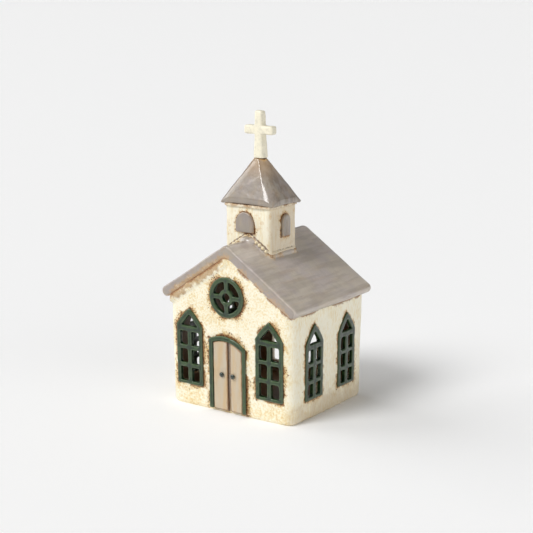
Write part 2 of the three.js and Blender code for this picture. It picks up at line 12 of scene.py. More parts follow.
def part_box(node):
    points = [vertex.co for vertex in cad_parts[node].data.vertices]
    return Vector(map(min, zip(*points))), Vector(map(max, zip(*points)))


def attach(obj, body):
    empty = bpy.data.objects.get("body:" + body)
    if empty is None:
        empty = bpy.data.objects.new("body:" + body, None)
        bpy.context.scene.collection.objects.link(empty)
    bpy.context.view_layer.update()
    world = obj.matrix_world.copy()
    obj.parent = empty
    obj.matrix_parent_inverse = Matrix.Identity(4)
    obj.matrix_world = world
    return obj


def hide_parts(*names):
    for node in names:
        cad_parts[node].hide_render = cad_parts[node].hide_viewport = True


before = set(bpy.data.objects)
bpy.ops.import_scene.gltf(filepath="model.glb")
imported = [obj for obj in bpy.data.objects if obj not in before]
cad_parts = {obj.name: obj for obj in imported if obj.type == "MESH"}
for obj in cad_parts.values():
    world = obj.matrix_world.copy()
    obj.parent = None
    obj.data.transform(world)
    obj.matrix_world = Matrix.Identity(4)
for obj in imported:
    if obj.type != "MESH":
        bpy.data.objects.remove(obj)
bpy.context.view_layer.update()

bl_info = {
    "name": "Chapel tealight holder",
    "version": (1, 0, 0),
    "blender": (4, 5, 0),
    "location": "View3D > Sidebar > Chapel",
    "description": "Models and glazes a pottery chapel that holds a tealight",
    "category": "Object",
}

MM = 0.001
FINE = 0.4 * MM  # Voxel of the small pieces

# Places read from the frame
floor_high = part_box("floor_slab")[1]
front_low, front_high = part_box("front_wall")
MIDDLE_Y = (front_low[1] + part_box("back_wall")[1][1]) / 2
GABLE = front_high[2]
roof_low, left_slab_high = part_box("roof_slab_left")
right_slab_low, roof_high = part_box("roof_slab_right")
RIDGE_X = (left_slab_high[0] + right_slab_low[0]) / 2
belfry_low, belfry_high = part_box("belfry_front")
BELFRY_X = (belfry_low[0] + belfry_high[0]) / 2
BELFRY_Y = (belfry_low[1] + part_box("belfry_back")[1][1]) / 2
spire_low, spire_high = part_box("spire")

WINDOWS = {
    "front_window_left": "y",
    "front_window_right": "y",
    "round_window": "y",
    "right_window_front": "x",
    "right_window_rear": "x",
    "left_window_front": "x",
    "left_window_rear": "x",
}
BELFRY_WALLS = [f"belfry_{side}" for side in ("front", "right", "back", "left")]
BELFRY_PANELS = [f"belfry_panel_{side}" for side in ("front", "right", "back", "left")]


def linear(red, green, blue):
    """A colour as seen, from 0 to 255, as the linear colour that shaders take."""
    return tuple(((c / 255 + 0.055) / 1.055) ** 2.4 if c > 10 else c / 255 / 12.92
                 for c in (red, green, blue))


def number(name, description, value):
    """A plain number that a user can change."""
    return FloatProperty(name=name, description=description, default=value)


def length(name, description, value):
    """A size in metres that a user can change."""
    return FloatProperty(name=name, description=description, default=value, unit="LENGTH", precision=5)


def angle(name, description, degrees):
    """An angle that a user can change."""
    return FloatProperty(name=name, description=description, default=math.radians(degrees),
                         subtype="ANGLE")


def colour(name, description, red, green, blue):
    """A colour that a user can change."""
    return FloatVectorProperty(name=name, description=description, subtype="COLOR", size=3, min=0, max=1,
                               default=linear(red, green, blue))


class ChapelBody(bpy.types.PropertyGroup):
    """The house: four leaning walls on a floor."""

    width: length("Width", "Width of the house at its foot", 0.1008)
    depth: length("Depth", "Depth of the house at its foot", 0.0878)
    wall: length("Wall", "Thickness of the wall slabs", 0.0042)
    wall_height: length("Wall height", "Height of the side walls", 0.0734)
    side_lean: length("Side lean", "How far a side wall leans out at its top", 0.0007)
    end_lean: length("End lean", "How far the front and back lean out at the side walls' height", 0.0011)
    corner: length("Corner", "Radius of the upright corners", 0.006)
    foot: length("Foot", "Rounding of the walls' feet", 0.0022)
    luting: length("Luting", "Height of the slip pressed out under the left slope", 0.005)
    luting_out: length("Luting stand-out", "How far that slip stands out of the front wall", 0.0009)
    opening_width: length("Opening width", "Width of the arched opening at the back", 0.0496)
    opening_sill: length("Opening sill", "Height of the opening's sill", 0.0134)
    opening_spring: length("Opening spring", "Height where the opening's arch begins", 0.034)
    window_ledge: length("Window ledge", "How far the wall reaches behind a window's rim", 0.0017)
    unevenness: length("Unevenness", "How far the clay wanders from true", 0.0007)


class ChapelRoof(bpy.types.PropertyGroup):
    """The roof's two slabs."""

    pitch: angle("Pitch", "Slope of the roof", 33.7)
    slab: length("Slab", "Thickness of the roof slabs", 0.0074)
    rounding: length("Rounding", "Rounding of the eaves and the crest", 0.0034)
    rake: length("Rake", "Rounding of the sloping edges", 0.0016)
    vent: length("Vent", "Diameter of the vent under the belfry", 0.012)
    collar_width: length("Collar width", "How far the luting round the belfry stands out of it", 0.0012)
    collar_height: length("Collar height", "Height of that luting above the roof", 0.0026)
    hump: length("Hump", "Size of the lump of luting on the crest before the belfry", 0.0034)
    unevenness: length("Unevenness", "How far the clay wanders from true", 0.0009)


class ChapelBelfry(bpy.types.PropertyGroup):
    """The belfry and its spire."""

    width: length("Width", "Width of the belfry", 0.0374)
    depth: length("Depth", "Depth of the belfry", 0.0311)
    wall: length("Wall", "Thickness of the belfry's slabs", 0.004)
    corner: length("Corner", "Radius of the upright corners", 0.0026)
    slip_width: length("Slip width", "How far the slip stands out along the seam with the luting", 0.0005)
    slip_height: length("Slip height", "Height of the slip above the luting", 0.0012)
    bead: length("Bead", "Radius of the slip beads along the front seam", 0.0011)
    bead_spacing: length("Bead spacing", "Distance between the slip beads", 0.0026)
    spire_top_width: length("Spire top width", "Width of the spire under the cross", 0.0092)
    spire_top_depth: length("Spire top depth", "Depth of the spire under the cross", 0.0092)
    spire_edge: length("Spire edge", "Rounding under the spire's edge", 0.0016)
    spire_shoulder: length("Spire shoulder", "Height where the spire's slopes begin", 0.0026)
    hip: length("Hip", "Reach of the rounding of the spire's hips", 0.006)
    droop: length("Droop", "How far the spire's corners hang below its edges", 0.0012)


class ChapelGlazes(bpy.types.PropertyGroup):
    """The glazes' colours."""

    cream: colour("Cream", "Thick cream glaze", 252, 246, 224)
    cream_thin: colour("Thin cream", "Cream glaze where it runs thin", 238, 218, 166)
    amber: colour("Amber", "Cream glaze over iron, where it is thinnest", 216, 174, 98)
    # Fleck also darkens the belfry's creases, in part as painted shade.
    rust: colour("Rust", "Iron stain along seams", 146, 90, 34)
    fleck: colour("Fleck", "Dark iron flecks", 98, 58, 24)
    luting: colour("Luting", "Slip pressed out of the seams", 182, 146, 100)
    groove: colour("Groove", "Purple brown of the groove in the door", 92, 62, 54)
    grey: colour("Grey", "Warm grey glaze of the spire and of the roof's front edges", 158, 148, 135)
    lilac: colour("Lilac", "Cooler cast of that glaze", 152, 142, 136)
    # The two roof greys below are the grey and lilac made paler for the slopes: a painted sheen.
    roof: colour("Roof grey", "Warm grey glaze of the roof's slopes", 200, 189, 174)
    roof_lilac_sheen: colour("Roof lilac", "Cooler cast of the slopes' glaze", 194, 183, 176)
    # Umber also deepens the streaks on sideways faces, where it is a painted dark reflection.
    umber: colour("Umber", "Darker streaks of the grey glazes", 116, 102, 86)
    thin_edge: colour("Thin edge", "Clay that shows through at an edge", 200, 160, 112)
    green: colour("Green", "Pooled green glaze", 5, 36, 11)
    green_crest: colour("Green crest", "Green glaze on flat crests", 50, 76, 32)
    # This grey green is the crest green made paler for sideways surfaces: a painted sheen.
    green_side_sheen: colour("Grey green", "Green glaze on the side windows' crests", 68, 84, 62)
    door: colour("Door", "Pinkish grey of the door", 198, 184, 162)
    door_tan: colour("Door tan", "Tan cast of the door", 201, 175, 136)
    knob: colour("Knob", "Dark glaze of the knobs", 44, 54, 46)
    cross: colour("Cross", "Off-white glaze of the cross", 248, 241, 217)
    lining: colour("Lining", "Brown inside of the house", 128, 92, 58)


class ChapelStage(bpy.types.PropertyGroup):
    """The camera and the lights."""

    azimuth: angle("Azimuth", "Camera's bearing from the front", 35.49)
    elevation: angle("Elevation", "Camera's height above the horizon", 12.3)
    distance: length("Distance", "From the camera to what it looks at", 0.87322)
    lens: number("Lens", "Focal length in mm on a 36 mm sensor", 86.23)
    aim: FloatVectorProperty(name="Aim", description="What the camera looks at", subtype="TRANSLATION",
                             default=(0.00179, front_low[1] + 0.0416, 0.09475))
    key_azimuth: angle("Key azimuth", "Bearing of the key light from the front", -20)
    key_elevation: angle("Key elevation", "Height of the key light above the horizon", 46)
    key_spread: angle("Key spread", "Breadth of the key light", 28)
    key_strength: number("Key strength", "Strength of the key light", 1.93)
    left_azimuth: angle("Left azimuth", "Bearing of the broad light on the left", -80)
    left_elevation: angle("Left elevation", "Height of the broad light on the left", 32)
    left_spread: angle("Left spread", "Breadth of the broad light on the left", 50)
    left_strength: number("Left strength", "Strength of the broad light on the left", 1.15)
    right_azimuth: angle("Right azimuth", "Bearing of the broad light on the right", 80)
    right_elevation: angle("Right elevation", "Height of the broad light on the right", 8)
    right_spread: angle("Right spread", "Breadth of the broad light on the right", 60)
    right_strength: number("Right strength", "Strength of the broad light on the right", 0.98)
    sky_strength: number("Sky strength", "Strength of the even light", 0.21)


# Modelling tools


def only(*pieces):
    """Selects these objects and nothing else, the last of them active."""
    bpy.ops.object.select_all(action="DESELECT")
    for piece in pieces:
        piece.select_set(True)
    bpy.context.view_layer.objects.active = pieces[-1]


def primitive(kind, name, **settings):
    """Adds one of the mesh primitives under a name."""
    bpy.ops.object.select_all(action="DESELECT")
    getattr(bpy.ops.mesh, f"primitive_{kind}_add")(**settings)
    piece = bpy.context.active_object
    piece.name = piece.data.name = name
    return piece


def settle(piece):
    """Moves a piece's place, turn and size into its mesh."""
    only(piece)
    bpy.ops.object.transform_apply(location=True, rotation=True, scale=True)
    return piece


def block(name, low, high):
    """A block between two corners."""
    middle = [(a + b) / 2 for a, b in zip(low, high)]
    half = [(b - a) / 2 for a, b in zip(low, high)]
    return settle(primitive("cube", name, size=2, location=middle, scale=half))


def pick(piece, kind, test):
    """Selects the vertices, edges or polygons of a piece that pass a test, and nothing else."""
    kinds = ("vertices", "edges", "polygons")
    bpy.context.tool_settings.mesh_select_mode = [kind == name for name in kinds]
    for name in kinds:
        items = getattr(piece.data, name)
        items.foreach_set("select", [False] * len(items))
    for item in getattr(piece.data, kind):
        item.select = test(item)


@contextmanager
def editing(piece, everything=False):
    """Edit mode on a piece, with what is picked, or everything, selected."""
    only(piece)
    bpy.ops.object.mode_set(mode="EDIT")
    if everything:
        bpy.ops.mesh.select_all(action="SELECT")
    yield
    bpy.ops.object.mode_set(mode="OBJECT")


def modify(piece, kind, **settings):
    """Adds a modifier and applies it."""
    modifier = piece.modifiers.new(kind.title(), kind)
    for name, value in settings.items():
        setattr(modifier, name, value)
    only(piece)
    bpy.ops.object.modifier_apply(modifier=modifier.name)


def cut(piece, *cutters, operation="DIFFERENCE"):
    """Cuts a piece with others, which are used up."""
    for cutter in cutters:
        modify(piece, "BOOLEAN", operation=operation, object=cutter, solver="EXACT")
        bpy.data.objects.remove(cutter)
    return piece


def join(*pieces):
    """Joins pieces into the last one."""
    only(*pieces)
    bpy.ops.object.join()


def round_edges(piece, axis, radius, segments=5):
    """Rounds a piece's edges that run along an axis."""
    def along(edge):
        a, b = (piece.data.vertices[i].co for i in edge.vertices)
        return abs(getattr((b - a).normalized(), axis)) > 0.9

    pick(piece, "edges", along)
    with editing(piece):
        bpy.ops.mesh.bevel(offset=radius, segments=segments, affect="EDGES")
    return piece


def trim(piece, place, direction):
    """Cuts off what lies beyond a plane."""
    with editing(piece, everything=True):
        bpy.ops.mesh.bisect(plane_co=place, plane_no=direction, use_fill=True, clear_outer=True)
    return piece


def under_slopes(piece, apex):
    """Cuts away what lies above two roof slopes that meet over the ridge at this height."""
    pitch = bpy.context.scene.chapel_roof.pitch
    for side in (-1, 1):
        trim(piece, (RIDGE_X, 0, apex), (side * math.sin(pitch), 0, math.cos(pitch)))
    return piece


def roof_wedge(apex, front=-0.08, back=0.08):
    """Everything under the roof's slopes, from front to back, as a block."""
    reach = 0.08
    return under_slopes(block("wedge", (-reach, front, apex - reach), (reach, back, apex + reach)), apex)


def ridge_height():
    """The height where the slopes meet, above their rounded crest."""
    sizes = bpy.context.scene.chapel_roof
    return roof_high[2] + sizes.rounding * math.tan(sizes.pitch / 2)


def copy_of(node, name):
    """A copy of a node's mesh, with its loose triangles merged."""
    piece = bpy.data.objects.new(name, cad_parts[node].data.copy())
    piece.data.materials.clear()
    bpy.context.scene.collection.objects.link(piece)
    with editing(piece, everything=True):
        bpy.ops.mesh.remove_doubles(threshold=0.00001)
    return piece


def middle_of(node):
    """The middle of a node's box."""
    low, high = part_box(node)
    return [(a + b) / 2 for a, b in zip(low, high)]


def window_cutter(node, axis):
    """A block with a window's outline, drawn in by the ledge and long enough to pass through the wall."""
    ledge = bpy.context.scene.chapel_body.window_ledge
    through_wall = 6
    cutter = copy_of(node, "window_cutter")
    low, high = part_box(node)
    value = [1 - 2 * ledge / (b - a) for a, b in zip(low, high)]
    value["xyz".index(axis)] = through_wall
    with editing(cutter, everything=True):
        bpy.ops.mesh.convex_hull()
        bpy.ops.transform.resize(value=value, center_override=middle_of(node))
    return cutter


def soften(piece, voxel, passes):
    """Fuses a piece into one soft skin, as clay under glaze."""
    modify(piece, "REMESH", mode="VOXEL", voxel_size=voxel)
    modify(piece, "SMOOTH", factor=0.5, iterations=passes)
    return piece


def wander(piece, size, depth):
    """Lets a surface wander from true by a depth, over features of a size."""
    clouds = bpy.data.textures.new(f"{piece.name}_clouds", "CLOUDS")
    clouds.noise_scale = size
    clouds.noise_depth = 1
    modify(piece, "DISPLACE", texture=clouds, texture_coords="LOCAL", direction="NORMAL", strength=depth,
           mid_level=0.5)


def write(piece, name, values):
    """Writes an attribute of a piece's points."""
    attribute = piece.data.attributes.new(name, "FLOAT", "POINT")
    attribute.data.foreach_set("value", np.asarray(values, dtype=np.float32))


def keep_within(piece, low, high):
    """Holds a piece back to a box."""
    for vertex in piece.data.vertices:
        vertex.co = [min(max(at, a), b) for at, a, b in zip(vertex.co, low, high)]


def survey(piece, spacing, **neighbours):
    """Writes what the shaders ask about each point of a surface as attributes, with lengths in millimetres.

    "crest" is how far the point stands out of the surface round it, and "side" is 1 where the surface looks
    sideways. Each list of neighbours gives the distance to the nearest of those nodes, up to the furthest
    that matters, and an empty list gives that all over.
    """
    span = 1.2 * MM
    furthest = 12 * MM
    mesh = piece.data
    count = len(mesh.vertices)
    places = np.empty(3 * count)
    mesh.vertices.foreach_get("co", places)
    places = places.reshape(-1, 3)
    normals = np.empty(3 * count, dtype=np.float32)
    mesh.vertices.foreach_get("normal", normals)
    normals = normals.reshape(-1, 3)
    ends = np.empty(2 * len(mesh.edges), dtype=np.int32)
    mesh.edges.foreach_get("vertices", ends)
    a, b = ends.reshape(-1, 2).T
    degree = np.maximum(np.bincount(ends, minlength=count), 1)
    flat = places.copy()
    for _ in range(max(1, round((span / spacing) ** 2))):
        total = [np.bincount(a, flat[b, i], count) + np.bincount(b, flat[a, i], count) for i in range(3)]
        flat = np.stack(total, axis=1) / degree[:, None]
    crest = ((places - flat) * normals).sum(axis=1) / MM
    write(piece, "crest", crest)
    write(piece, "side", np.abs(normals[:, 0]))
    for name, nodes in neighbours.items():
        seam = np.full(count, furthest / MM)
        for node in nodes:
            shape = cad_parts[node].data
            tree = BVHTree.FromPolygons([v.co for v in shape.vertices], [p.vertices for p in shape.polygons])
            for i, vertex in enumerate(mesh.vertices):
                gap = tree.find_nearest(vertex.co, furthest)[3]
                if gap is not None:
                    seam[i] = min(seam[i], gap / MM)
        write(piece, name, seam)


def stand_for(piece, glaze, slot, *nodes):
    """Glazes a finished piece and puts it in the place of its nodes."""
    piece.data.materials.append(bpy.data.materials[glaze])
    only(piece)
    bpy.ops.object.shade_smooth()
    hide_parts(*nodes)
    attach(piece, "root")


def soft_copy(node, glaze, slot, voxel=FINE, passes=3, size=5 * MM, depth=0.5 * MM):
    """A softened copy of a node, glazed and in its place."""
    piece = soften(copy_of(node, f"{node}_glazed"), voxel, passes)
    wander(piece, size, depth)
    stand_for(piece, glaze, slot, node)
    return piece


# Shader tools


class Tree:
    """Adds nodes to a shader tree, with their settings and inputs."""

    def __init__(self, tree):
        self.tree = tree

    def add(self, kind, inputs=None, **settings):
        """Adds a node of a kind."""
        node = self.tree.nodes.new(f"ShaderNode{kind}")
        for name, value in settings.items():
            setattr(node, name, value)
        for name, value in (inputs or {}).items():
            self.feed(node.inputs[name], value)
        return node

    def feed(self, socket, value):
        """Links a socket to another, or sets its value."""
        if isinstance(value, bpy.types.NodeSocket):
            self.tree.links.new(value, socket)
        elif hasattr(value, "__len__") and len(value) == 3 and socket.type == "RGBA":
            socket.default_value = (*value, 1)
        else:
            socket.default_value = value

    def math(self, operation, a, b):
        """A sum, difference, product, quotient or greater of two values."""
        return self.add("Math", {0: a, 1: b}, operation=operation).outputs[0]

    def ramp(self, value, low, high, to_low=0.0, to_high=1.0):
        """A smooth step between two results, as a value goes from low to high."""
        node = self.add("MapRange", {"Value": value, "From Min": low, "From Max": high, "To Min": to_low,
                                     "To Max": to_high}, interpolation_type="SMOOTHSTEP")
        return node.outputs[0]

    def mix(self, amount, a, b):
        """A colour that goes from one to another by an amount."""
        return self.add("Mix", {0: amount, 6: a, 7: b}, data_type="RGBA").outputs[2]

    def number_mix(self, amount, a, b):
        """A number that goes from one to another by an amount."""
        return self.add("Mix", {0: amount, 2: a, 3: b}, data_type="FLOAT").outputs[0]

    def noise(self, size, detail=3, roughness=0.6, stretch=(1, 1, 1), offset=(0, 0, 0)):
        """Noise over features of a size in metres, drawn out along an axis by a stretch."""
        place = self.add("TexCoord").outputs["Object"]
        scale = [1 / (size * factor) for factor in stretch]
        mapped = self.add("Mapping", {"Vector": place, "Location": offset, "Scale": scale})
        node = self.add("TexNoise", {"Vector": mapped.outputs[0], "Scale": 1.0, "Detail": detail,
                                     "Roughness": roughness})
        return node.outputs[0]

    def place(self, axis):
        """A point's place along an axis, in metres."""
        return self.add("SeparateXYZ", {0: self.add("TexCoord").outputs["Object"]}).outputs[axis]

    def attribute(self, name):
        """What the survey wrote about each point."""
        return self.add("Attribute", attribute_name=name).outputs["Fac"]

    def group(self, name, inputs):
        """The outputs of a shader group, placed with its own values."""
        node = self.tree.nodes.new("ShaderNodeGroup")
        node.node_tree = bpy.data.node_groups[name]
        for key, value in inputs.items():
            self.feed(node.inputs[key], value)
        return node.outputs


def shader_group(name, inputs, outputs):
    """A new node group with named number sockets. Gives its tree, its input sockets and its output node."""
    tree = bpy.data.node_groups.new(name, "ShaderNodeTree")
    for key, value in inputs.items():
        socket = tree.interface.new_socket(name=key, in_out="INPUT", socket_type="NodeSocketFloat")
        socket.default_value = value
    for key in outputs:
        tree.interface.new_socket(name=key, in_out="OUTPUT", socket_type="NodeSocketFloat")
    taken = tree.nodes.new("NodeGroupInput")
    given = tree.nodes.new("NodeGroupOutput")
    return Tree(tree), taken.outputs, given


def seam_stain_group():
    """Iron stain along a seam: a ragged halo, and clusters of dark flecks in it.

    "Distance" is how far off the seam a point is and "Reach" how far the stain goes, both in millimetres.
    """
    inputs = {"Distance": 12.0, "Reach": 3.0, "Flecks": 1.0}
    tree, taken, given = shader_group("Seam stain", inputs, ("Halo", "Flecks"))
    broad = tree.ramp(tree.noise(8 * MM, 2, 0.5), 0.36, 0.62, 0.12, 1.4)
    fine = tree.ramp(tree.noise(1.7 * MM, 3, 0.65), 0.3, 0.7, 0.6, 1.4)
    reach = tree.math("MULTIPLY", taken["Reach"], tree.math("MULTIPLY", broad, fine))
    near = tree.math("DIVIDE", taken["Distance"], reach)
    tree.feed(given.inputs["Halo"], tree.ramp(near, 0.3, 1.3, 1.0, 0.0))
    spots = tree.noise(1.0 * MM, offset=(7, 3, 1))
    limit = tree.ramp(near, 0.0, 1.6, 0.47, 0.72)
    over = tree.math("SUBTRACT", spots, limit)
    tree.feed(given.inputs["Flecks"], tree.math("MULTIPLY", tree.ramp(over, 0.0, 0.05), taken["Flecks"]))


def glaze_depth_group():
    """Where a glaze runs thin, on what stands out, and where it pools, in what lies back; on the belfry the
    second is also painted shade.

    Noise breaks up both.
    """
    inputs = {"Thin from": 0.05, "Thin to": 0.15, "Pool from": 0.08, "Pool to": 0.3, "Breakup": 0.06}
    tree, taken, given = shader_group("Glaze depth", inputs, ("Thin", "Pool"))
    noise = tree.math("SUBTRACT", tree.noise(1.6 * MM), 0.5)
    level = tree.math("ADD", tree.attribute("crest"), tree.math("MULTIPLY", noise, taken["Breakup"]))
    tree.feed(given.inputs["Thin"], tree.ramp(level, taken["Thin from"], taken["Thin to"]))
    depth = tree.math("MULTIPLY", level, -1.0)
    tree.feed(given.inputs["Pool"], tree.ramp(depth, taken["Pool from"], taken["Pool to"]))


def glaze_relief_group():
    """The height of a glazed surface: long ripples, a fine orange peel and small pits."""
    inputs = {"Ripple": 1.0, "Peel": 0.3, "Pits": 0.5}
    tree, taken, given = shader_group("Glaze relief", inputs, ("Height",))
    ripple = tree.math("MULTIPLY", tree.noise(6 * MM, 2, 0.5), taken["Ripple"])
    peel = tree.math("MULTIPLY", tree.noise(1.1 * MM, 2, 0.5), taken["Peel"])
    place = tree.add("TexCoord").outputs["Object"]
    cells = tree.add("TexVoronoi", {"Vector": place, "Scale": 1 / (2.2 * MM)}).outputs["Distance"]
    pit = tree.ramp(cells, 0.05, 0.2, 1.0, 0.0)
    sparse = tree.ramp(tree.noise(3 * MM, 1, 0.5, offset=(2, 5, 9)), 0.55, 0.6)
    pits = tree.math("MULTIPLY", tree.math("MULTIPLY", pit, sparse), taken["Pits"])
    total = tree.math("SUBTRACT", tree.math("ADD", ripple, peel), pits)
    tree.feed(given.inputs["Height"], total)


def make_glaze(name, colour_of, relief, roughness, coat):
    """A glaze: a colour made by a function, over a bumped surface, under a clear coat.

    The relief is the share of ripple, peel and pits in its height, and the depth of that in metres.
    """
    material = bpy.data.materials.new(name)
    material.use_nodes = True
    tree = Tree(material.node_tree)
    shader = material.node_tree.nodes["Principled BSDF"]
    tree.feed(shader.inputs["Base Color"], colour_of(tree))
    ripple, peel, pits, depth = relief
    height = tree.group("Glaze relief", {"Ripple": ripple, "Peel": peel, "Pits": pits})["Height"]
    bump = tree.add("Bump", {"Height": height, "Strength": 1.0, "Distance": depth})
    tree.feed(shader.inputs["Normal"], bump.outputs[0])
    shader.inputs["Roughness"].default_value = roughness
    shader.inputs["Coat Weight"].default_value = coat
    shader.inputs["Coat Roughness"].default_value = 0.05


def stained(tree, base, seam, reach, flecks=1.0, halo=0.8, rust=None):
    """A colour stained along a seam."""
    glazes = bpy.context.scene.chapel_glazes
    stain = tree.group("Seam stain", {"Distance": tree.attribute(seam), "Reach": reach, "Flecks": flecks})
    base = tree.mix(tree.math("MULTIPLY", stain["Halo"], halo), base, rust or glazes.rust)
    return tree.mix(stain["Flecks"], base, glazes.fleck)


def left_luting(tree, seam, reach):
    """How much the slip pressed out under the left slope covers, to a reach off a seam in millimetres."""
    left = tree.ramp(tree.place("X"), RIDGE_X - 6 * MM, RIDGE_X, 0.85, 0.0)
    uneven = tree.ramp(tree.noise(5 * MM), 0.3, 0.7, -1.6, 1.6)
    edge = tree.ramp(tree.math("ADD", tree.attribute(seam), uneven), reach - 1.5, reach + 1.5, 1.0, 0.0)
    return tree.math("MULTIPLY", left, edge)


def uneven_luting(tree):
    """The colour of pressed-out slip: tan, with brown and cream streaks."""
    glazes = bpy.context.scene.chapel_glazes
    browner = tree.ramp(tree.noise(2.2 * MM, 4, 0.65), 0.5, 0.72, 0.0, 0.5)
    paler = tree.ramp(tree.noise(3 * MM, offset=(3, 1, 7)), 0.5, 0.75, 0.0, 0.4)
    return tree.mix(paler, tree.mix(browner, glazes.luting, glazes.groove), glazes.cream)


def lip_colour(tree):
    """Cream that runs thin and tan all along the lip."""
    glazes = bpy.context.scene.chapel_glazes
    thin = tree.ramp(tree.noise(4 * MM), 0.3, 0.65, 0.25, 0.85)
    return stained(tree, tree.mix(thin, glazes.cream, glazes.luting), "seam", 1.0, halo=0.7)


def cream_colour(tree):
    """Cream that thins to tan in a mottle on the ends and in brushed streaks on the sides."""
    glazes = bpy.context.scene.chapel_glazes
    side = tree.attribute("side")
    broad = tree.math("MULTIPLY", tree.noise(13 * MM, 2, 0.5), 0.4)
    foot = tree.ramp(tree.place("Z"), 3 * MM, 16 * MM, 0.05, 0.0)
    thinning = tree.math("ADD", broad, foot)
    grain = tree.math("ADD", tree.noise(1.4 * MM, 4, 0.7), thinning)
    brushed = tree.math("ADD", tree.noise(1.3 * MM, 4, 0.7, stretch=(1, 1, 3)), thinning)
    level = tree.number_mix(side, grain, brushed)
    mottle = tree.math("MULTIPLY", tree.ramp(level, 0.62, 0.86), tree.number_mix(side, 1.0, 0.55))
    base = tree.mix(mottle, glazes.cream, glazes.cream_thin)
    end_specks = tree.ramp(grain, 0.8, 0.94, 0.0, 0.55)
    side_specks = tree.ramp(brushed, 0.8, 0.98, 0.0, 0.2)
    uneven = tree.ramp(tree.noise(9 * MM), 0.3, 0.7, -6 * MM, 6 * MM)
    low = tree.ramp(tree.math("ADD", tree.place("Z"), uneven), 4 * MM, 20 * MM, 0.4, 0.0)
    base = tree.mix(tree.math("MULTIPLY", low, side), base, glazes.luting)
    base = tree.mix(tree.number_mix(side, end_specks, side_specks), base, glazes.amber)
    depth = tree.group("Glaze depth", {"Thin from": 0.1, "Thin to": 0.35})
    base = tree.mix(tree.math("MULTIPLY", depth["Thin"], 0.3), base, glazes.cream_thin)
    base = stained(tree, base, "seam", tree.number_mix(side, 3.0, 2.0), halo=0.7, rust=glazes.amber)
    base = stained(tree, base, "seam", tree.number_mix(side, 1.2, 0.7), halo=0.8)
    base = tree.mix(left_luting(tree, "eave", 4.2), base, uneven_luting(tree))
    base = stained(tree, base, "eave", 1.3, flecks=0.5)
    base = tree.mix(tree.ramp(tree.attribute("leaf"), 0.8, 1.4, 0.85, 0.0), base, glazes.groove)
    return tree.mix(tree.attribute("lining"), base, glazes.lining)


def belfry_colour(tree):
    """Cream in upright streaks with tan blotches, stained round the panels, painted shade on its sides, dark
    in creases.
    """
    glazes = bpy.context.scene.chapel_glazes
    streaks = tree.ramp(tree.noise(1.6 * MM, stretch=(1, 1, 6)), 0.45, 0.72)
    base = tree.mix(tree.math("MULTIPLY", streaks, 0.6), glazes.cream, glazes.cream_thin)
    blotch = tree.ramp(tree.noise(5 * MM), 0.52, 0.75, 0.0, 0.6)
    base = tree.mix(blotch, base, glazes.amber)
    depth = tree.group("Glaze depth", {"Thin from": 0.05, "Thin to": 0.3, "Pool from": 0.04, "Pool to": 0.16})
    base = tree.mix(tree.math("MULTIPLY", depth["Thin"], 0.5), base, glazes.cream_thin)
    # Tan mixed into what looks sideways: a painted shade on the belfry's sides.
    base = tree.mix(tree.math("MULTIPLY", tree.attribute("side"), 0.4), base, glazes.luting)
    base = stained(tree, base, "seam", 1.9, halo=0.6, rust=glazes.amber)
    base = stained(tree, base, "seam", 0.9, halo=0.85)
    # Fleck colour where the surface lies back: iron dots between the beads, and painted shade in the other
    # creases, such as under the lip.
    return tree.mix(tree.math("MULTIPLY", depth["Pool"], 0.85), base, glazes.fleck)


def grey_colour(stretch, tan, streaks_and_dark_reflection, slope):
    """A warm grey glaze, streaked along one axis, with a share of tan where it runs thin.

    Sideways faces get deeper streaks, a painted dark reflection, and by slope the paler roof greys, a painted
    sheen.
    """
    def colour_of(tree):
        glazes = bpy.context.scene.chapel_glazes
        patches = tree.ramp(tree.noise(17 * MM, 3, 0.55), 0.4, 0.62)
        base = tree.mix(patches, glazes.grey, glazes.lilac)
        # The slopes take the paler roof greys, a painted sheen, and the front edges a fifth of it.
        paler = tree.ramp(tree.attribute("side"), 0.15, 0.45, 0.2 * slope, slope)
        base = tree.mix(paler, base, tree.mix(patches, glazes.roof, glazes.roof_lilac_sheen))
        # Umber streaks, deeper where the surface looks sideways: there they are partly a painted dark
        # reflection, as on the spire's right face.
        streaks = tree.ramp(tree.noise(4 * MM, 4, 0.6, stretch=stretch), 0.42, 0.62)
        share = tree.number_mix(tree.attribute("side"), 0.12, streaks_and_dark_reflection)
        base = tree.mix(tree.math("MULTIPLY", streaks, share), base, glazes.umber)
        thinning = tree.noise(3.5 * MM, 4, 0.65, stretch=stretch, offset=(4, 8, 2))
        pale = tree.ramp(thinning, 0.45, 0.75, 0.0, tan)
        top = tree.ramp(tree.place("Z"), spire_high[2] - 17 * MM, spire_high[2] - 2 * MM, 0.0, 0.4)
        base = tree.mix(tree.math("MAXIMUM", pale, top), base, glazes.thin_edge)
        base = stained(tree, base, "wall", 2.6, flecks=0.0, halo=0.7, rust=glazes.thin_edge)
        base = tree.mix(left_luting(tree, "wall", 3.2), base, uneven_luting(tree))
        levels = {"Thin from": 0.14, "Thin to": 0.42, "Pool from": 0.1, "Pool to": 0.35}
        depth = tree.group("Glaze depth", levels)
        base = tree.mix(tree.math("MULTIPLY", depth["Thin"], 0.7), base, glazes.thin_edge)
        base = tree.mix(tree.math("MULTIPLY", depth["Pool"], 0.6), base, glazes.umber)
        base = stained(tree, base, "seam", 1.8, flecks=0.0, halo=0.5, rust=glazes.amber)
        return stained(tree, base, "seam", 0.9, flecks=0.8)
    return colour_of


def green_colour(tree):
    """Green that pools dark and breaks lighter on the crests, paler and greyer on the sides as a painted
    sheen.
    """
    glazes = bpy.context.scene.chapel_glazes
    crest = tree.group("Glaze depth", {"Thin from": 0.0, "Thin to": 0.16, "Breakup": 0.14})["Thin"]
    # Sideways crests take the paler grey green: a painted sheen.
    lighter = tree.mix(tree.attribute("side"), glazes.green_crest, glazes.green_side_sheen)
    return tree.mix(crest, glazes.green, lighter)


